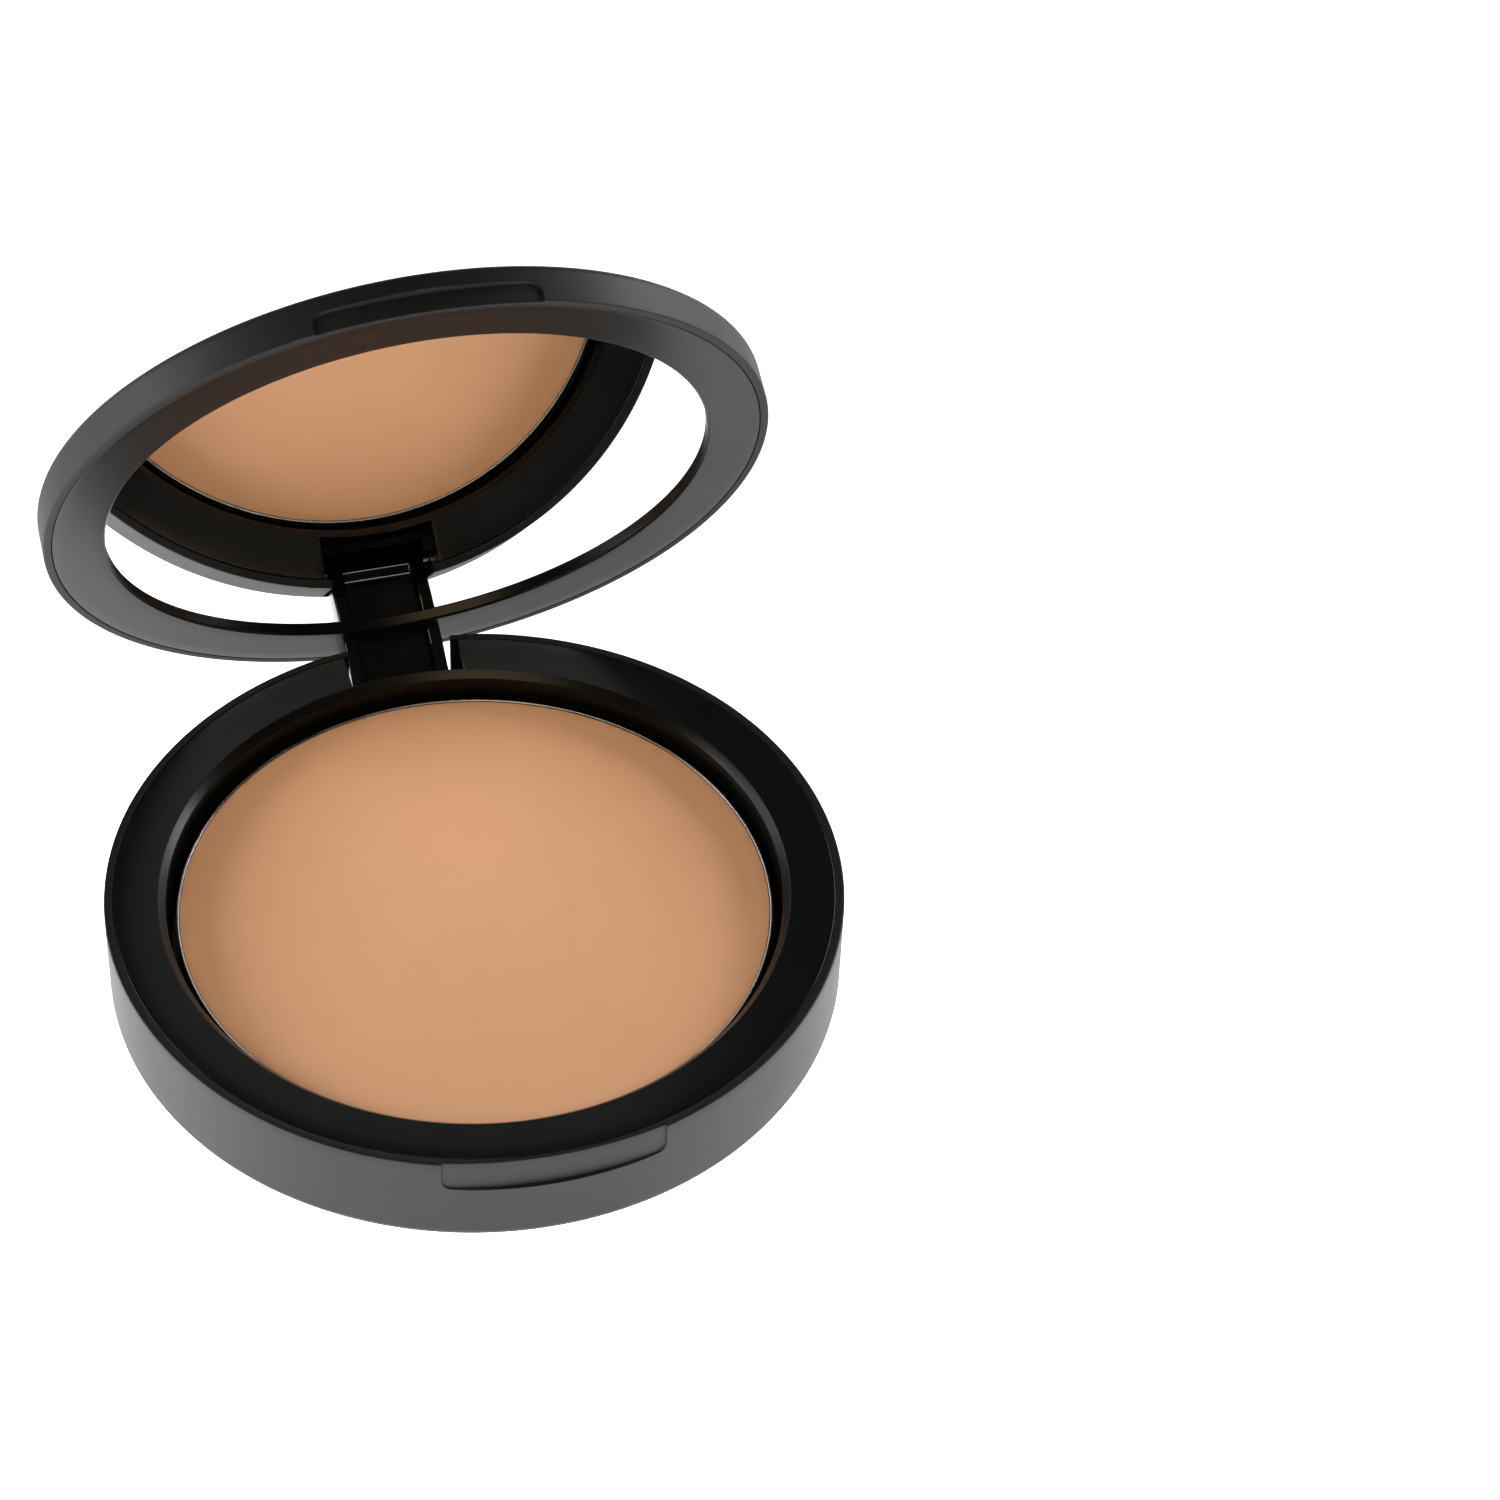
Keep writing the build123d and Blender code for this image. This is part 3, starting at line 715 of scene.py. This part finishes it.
class COMPACT_OT_powder(PieceOperator, bpy.types.Operator):
    """Powder pan: a drawn aluminium cup with a rounded edge, and the powder pressed into it"""

    bl_idname = "compact.powder"
    bl_label = "Pan and powder"

    def execute(self, context):
        size, finish = self.settings(context)
        cols = columns()
        pan_r, pan_top, pan_foot = PAN_HIGH[0], PAN_HIGH[2], PAN_LOW[2]
        sheet, draft = size.pan_sheet, size.pan_draft
        corners = [
            (0, pan_foot, 0),
            (pan_r - draft, pan_foot, size.pan_round),
            (pan_r, pan_top, sheet * 0.45),
            (pan_r - sheet, pan_top, sheet * 0.45),
            (pan_r - draft - sheet, pan_foot + sheet, size.pan_round - sheet),
            (0, pan_foot + sheet, 0),
        ]
        outline = np.concatenate([[[0, pan_foot]], divided(rounded(corners)[1:], 2.0)])
        points = turned_points(outline[:, :1], outline[:, 1:], cols)
        make_piece(
            "drawn_pan", [(points, grid_faces(*points.shape[:2]))], "base",
            ["powder_pan"], drawn_aluminium(finish),
        )
        # powder: its top stands crown (1 - (r / edge)^2) above its edge
        edge_r, crown = POWDER_HIGH[0], size.powder_crown
        edge_z, foot = POWDER_HIGH[2] - crown, POWDER_LOW[2]
        corners = [
            (0, foot, 0),
            (edge_r - draft, foot, size.pan_round),
            (edge_r, edge_z, 0.12),
            (0, edge_z, 0),
        ]
        outline = np.concatenate([[[0, foot]], divided(rounded(corners)[1:], 0.8)])
        top_face = eased(edge_z - 0.2, edge_z - 0.02, outline[:, 1:])
        height = outline[:, 1:] + crown * (1 - (outline[:, :1] / edge_r) ** 2) * top_face
        points = turned_points(outline[:, :1], height, cols)
        make_piece(
            "powder_cake", [(points, grid_faces(*points.shape[:2]))], "base",
            ["pressed_powder"], pressed_powder_finish(finish),
        )
        return {"FINISHED"}


class COMPACT_OT_lid_shell(PieceOperator, bpy.types.Operator):
    """Lid shell: a shallow domed-edge cup with the upper part of the thumb notch"""

    bl_idname = "compact.lid_shell"
    bl_label = "Lid shell"

    def execute(self, context):
        size, finish = self.settings(context)
        outer_r, top, foot = LID_HIGH[0], LID_HIGH[2], LID_LOW[2]
        top_r = outer_r - size.lid_taper
        seat_r = outer_r - size.rim_wall
        roof = top - size.lid_roof

        def wall_r(height):
            return outer_r - size.lid_taper * (height - foot) / (top - foot)

        notch = notch_of(size, foot + size.notch_above, 1)
        dense = (notch.edge_z - size.notch_corner - NOTCH_MARGIN, notch.edge_z + NOTCH_MARGIN)
        corners = [
            (0, roof, 0),
            (seat_r, roof, 0.4),
            (seat_r, foot, 0.06),
            (outer_r, foot, size.rim_round),
            (wall_r(dense[0]), dense[0], 0),
            (wall_r(dense[1]), dense[1], 0),
            (top_r, top, size.top_round),
            (0, top, 0),
        ]
        outline = divided(rounded(corners, 9)[1:], 1.5, dense=dense)
        outline = np.concatenate([[[0, roof]], outline])
        cols = columns(notch=notch)
        points = shell_points(outline, cols, np.zeros(len(outline)), seat_r, notch, wall_r)
        make_piece(
            "lid_shell_moulding", [(points, grid_faces(*points.shape[:2]))], "lid",
            ["lid_shell"], soft_touch_lacquer(finish),
        )
        return {"FINISHED"}


class COMPACT_OT_lid_ring(PieceOperator, bpy.types.Operator):
    """Lid ring: the plate that frames the mirror, with its skirt inside the lid shell"""

    bl_idname = "compact.lid_ring"
    bl_label = "Lid ring"

    def execute(self, context):
        size, finish = self.settings(context)
        outer_r = LID_HIGH[0] - size.rim_wall - size.seam
        foot, top = FRAME_LOW[2], FRAME_HIGH[2]
        plate = foot + size.frame_plate
        seat_r, seat_z = GLASS_HIGH[0] + size.edge_round, GLASS_LOW[2]
        edge = size.edge_round
        corners = [
            (size.opening + size.frame_chamfer, foot, 0.06),
            (size.opening, foot + size.frame_chamfer, 0.06),
            (size.opening, seat_z, 0),
            (seat_r, seat_z, 0),
            (seat_r, plate, 0),
            (outer_r - size.skirt, plate, 0),
            (outer_r - size.skirt, top, 0),
            (outer_r, top, 0),
            (outer_r, foot, edge),
        ]
        outline = divided(rounded(corners), 1.5, closed=True)
        cols = columns()
        points = turned_points(outline[:, :1], outline[:, 1:], cols)
        make_piece(
            "lid_ring_moulding", [(points, grid_faces(*points.shape[:2], wrap_rows=True))], "lid",
            ["lid_ring"], spark_textured_abs(finish),
        )
        return {"FINISHED"}


class COMPACT_OT_mirror(PieceOperator, bpy.types.Operator):
    """Mirror: a round plate with ground edges, its whole surface silvered"""

    bl_idname = "compact.mirror"
    bl_label = "Mirror"

    def execute(self, context):
        size, finish = self.settings(context)
        glass_r, face, back = GLASS_HIGH[0], GLASS_LOW[2], GLASS_HIGH[2]
        seam = size.glass_seam
        outline = np.array(
            [
                (0, face), (glass_r - seam, face), (glass_r, face + seam),
                (glass_r, back - seam), (glass_r - seam, back), (0, back),
            ]
        )
        cols = columns()
        points = turned_points(outline[:, :1], outline[:, 1:], cols)
        make_piece(
            "mirror_glass_plate", [(points, grid_faces(*points.shape[:2]))], "lid",
            ["mirror"], silvered_glass(finish),
        )
        return {"FINISHED"}


class COMPACT_OT_hinge_arm(PieceOperator, bpy.types.Operator):
    """Hinge arm: a barrel on the pin and a neck up to the lid, with a channel between its cheeks"""

    bl_idname = "compact.hinge_arm"
    bl_label = "Hinge arm"

    def execute(self, context):
        size, finish = self.settings(context)
        front, back = ARM_LOW[1], ARM_HIGH[1]
        top = FRAME_LOW[2]
        shoulder = top - size.shoulder
        barrel = size.barrel
        # side outline: the barrel's circle and its tangents to the two shoulders
        centre = np.array([HINGE_Y, HINGE_Z])
        angles = []
        for corner, turn in (((back, shoulder), 1), ((front, shoulder), -1)):
            away = np.array(corner) - centre
            lean = math.atan2(away[1], away[0])
            angles.append(lean - turn * math.acos(barrel / np.linalg.norm(away)))
        sweep = np.linspace(angles[1], angles[0] + 2 * math.pi, 40)
        circle = centre + barrel * np.stack([np.cos(sweep), np.sin(sweep)], 1)
        corners = [(back, shoulder), (back, top + 0.3), (front, top + 0.3), (front, shoulder)]
        outline = divided(np.concatenate([circle, corners]), 0.25, closed=True)
        half, edge = size.arm_half, size.edge_round * 1.5
        quarter = np.linspace(0, math.pi / 2, 6)
        rounding = half - edge * (1 - np.sin(quarter[::-1]))[::-1]
        inner = np.linspace(0, half - edge - 0.05, 60)
        side = np.concatenate([inner[1:], rounding])
        side_pull = np.concatenate([inner[1:] * 0, edge * (1 - np.cos(quarter))])
        stations = np.concatenate([-side[::-1], [0], side])
        pull = np.concatenate([side_pull[::-1], [0], side_pull])
        into = inward(outline, closed=True)
        points, faces = carried(outline, stations)
        points[..., 1] += into[:, :1] * pull[None]
        points[..., 2] += into[:, 1:] * pull[None]
        # the channel moves the front back to the web, with a soft foot and soft flanks
        flank = half - size.cheek
        channel = 1 - eased(flank - 0.35, flank, np.abs(points[..., 0]))
        channel *= eased(size.channel_foot, size.channel_foot + size.channel_run, points[..., 2])
        web = front + size.setback
        points[..., 1] += np.maximum(web - points[..., 1], 0) * channel
        make_piece(
            "hinge_arm_moulding", [(points, faces)], "lid", ["hinge_arm"],
            polished_abs(finish), edge_angle=30.0,
        )
        return {"FINISHED"}


class COMPACT_OT_inner_finishes(PieceOperator, bpy.types.Operator):
    """Finishes of the small inner pieces: pin, magnets, glue, foam tape and label"""

    bl_idname = "compact.inner_finishes"
    bl_label = "Inner finishes"

    def execute(self, context):
        metal = {"Metallic": 1.0}
        finishes = {
            # ground steel wire: bright with a fine satin
            "hinge_pin": plain_finish("ground_steel_wire", linear("#B9B9B6"), 0.2, 0.32, 1, **metal),
            # nickel plating: slightly warm and bright
            "base_magnets": plain_finish("nickel_plating", linear("#C8C2B6"), 0.15, 0.28, 1, **metal),
            # dried acrylic glue: milky and dull
            "pan_adhesive": plain_finish("acrylic_adhesive", linear("#D8D4C6"), 0.4, 0.6, 4),
            # foam tape: white, open and matt
            "mirror_tape": plain_finish("polyethylene_foam", linear("#E6E6E3"), 0.8, 0.95, 0.6),
            # film label: an even black with a dull gloss
            "base_label": plain_finish("matt_film_label", linear("#1B1B1D"), 0.45, 0.6, 6),
        }
        finishes["lid_magnets"] = finishes["base_magnets"]
        for node, material in finishes.items():
            data = frame["nodes"][node].data
            data.materials.clear()
            data.materials.append(material)
        return {"FINISHED"}


class COMPACT_OT_studio(bpy.types.Operator):
    """Studio: a pale light table, soft lamps above and the camera"""

    bl_idname = "compact.studio"
    bl_label = "Studio"
    bl_options = {"REGISTER", "UNDO"}

    def execute(self, context):
        scene = context.scene
        scene.view_settings.view_transform = "Standard"
        world = bpy.data.worlds.new("studio")
        world.use_nodes = True
        back = world.node_tree.nodes["Background"]
        back.inputs["Color"].default_value = (1, 1, 1, 1)
        back.inputs["Strength"].default_value = 0.05
        scene.world = world
        # floor: a wide sheet of lit white acrylic, a hair below the underside
        half, low = 3.0, -0.05 * MM
        corners = [(-half, -half, low), (half, -half, low), (half, half, low), (-half, half, low)]
        sheet = bpy.data.meshes.new("light_table")
        sheet.from_pydata(corners, [], [(0, 1, 2, 3)])
        material, tree, shader, place = new_material("lit_white_acrylic", linear("#F4F4F4"))
        roughened(tree, shader, place, 0.5, 0.6, 40)
        # it glows most in front of the compact and least behind it, along a slightly swung line
        shader.inputs["Emission Color"].default_value = (1, 1, 1, 1)
        swung = add_node(tree, "ShaderNodeMapping", {"Vector": place}, Rotation=(0, 0, 0.4))
        along = add_node(tree, "ShaderNodeSeparateXYZ", {"Vector": swung.outputs["Vector"]})
        glow = add_node(
            tree, "ShaderNodeMapRange", {"Value": along.outputs["Y"]}, From_Min=-0.045,
            From_Max=0.05, To_Min=4.6, To_Max=0.8,
        )
        tree.links.new(glow.outputs["Result"], shader.inputs["Emission Strength"])
        sheet.materials.append(material)
        floor = bpy.data.objects.new("light_table", sheet)
        scene.collection.objects.link(floor)
        # lamps: name, place, width, depth and watts. The warm one in front tints what shade is left
        warm, cool = (1.0, 0.78, 0.45), (0.93, 0.98, 1.0)
        for name, spot, wide, deep, power, tint in (
            ("front_box", (-0.25, -0.75, 0.75), 0.6, 0.5, 3.9, warm),
            ("left_box", (-0.8, 0.35, 0.28), 0.5, 0.3, 8.0, cool),
            ("right_box", (0.8, 0.35, 0.28), 0.5, 0.3, 8.0, cool),
            ("top_strip", (0.2, -0.33, 0.92), 0.25, 0.08, 0.6, cool),
        ):
            light = bpy.data.lights.new(name, "AREA")
            light.shape = "RECTANGLE"
            light.size = wide
            light.size_y = deep
            light.energy = power
            light.color = tint
            lamp = bpy.data.objects.new(name, light)
            lamp.location = spot
            lamp.rotation_euler = (-Vector(spot)).to_track_quat("-Z", "Y").to_euler()
            scene.collection.objects.link(lamp)
        # camera: above, in front and to the left, its turn given by where ahead and right point
        camera = bpy.data.cameras.new("camera")
        camera.sensor_width = 36.0
        camera.lens = 153.6
        camera.clip_start = 0.01
        ahead = Vector((0.190856, 0.684353, -0.703729)).normalized()
        right = Vector((0.968769, -0.246932, 0.022604)).normalized()
        up = right.cross(ahead)
        view = Matrix((right, up, -ahead)).transposed().to_4x4()
        view.translation = Vector((-0.092018, -0.429257, 0.464970))
        eye = bpy.data.objects.new("camera", camera)
        eye.matrix_world = view
        scene.collection.objects.link(eye)
        scene.camera = eye
        return {"FINISHED"}


class COMPACT_PT_panel(bpy.types.Panel):
    """Lists the operators and settings in the sidebar"""

    bl_label = "Powder compact"
    bl_idname = "COMPACT_PT_panel"
    bl_space_type = "VIEW_3D"
    bl_region_type = "UI"
    bl_category = "Compact"

    def draw(self, context):
        for operator in OPERATORS:
            self.layout.operator(operator.bl_idname)
        for group in (context.scene.compact_sizes, context.scene.compact_finishes):
            box = self.layout.box()
            for key in group.__annotations__:
                box.prop(group, key)


OPERATORS = (
    COMPACT_OT_base_shell,
    COMPACT_OT_base_ring,
    COMPACT_OT_powder,
    COMPACT_OT_lid_shell,
    COMPACT_OT_lid_ring,
    COMPACT_OT_mirror,
    COMPACT_OT_hinge_arm,
    COMPACT_OT_inner_finishes,
    COMPACT_OT_studio,
)
CLASSES = (CompactSizes, CompactFinishes, *OPERATORS, COMPACT_PT_panel)


def register():
    for each in CLASSES:
        bpy.utils.register_class(each)
    bpy.types.Scene.compact_sizes = PointerProperty(type=CompactSizes)
    bpy.types.Scene.compact_finishes = PointerProperty(type=CompactFinishes)


def unregister():
    del bpy.types.Scene.compact_finishes
    del bpy.types.Scene.compact_sizes
    for each in reversed(CLASSES):
        bpy.utils.unregister_class(each)


def main():
    """Builds everything."""
    register()
    for operator in OPERATORS:
        group, name = operator.bl_idname.split(".")
        getattr(getattr(bpy.ops, group), name)()


if __name__ == "__main__":
    main()
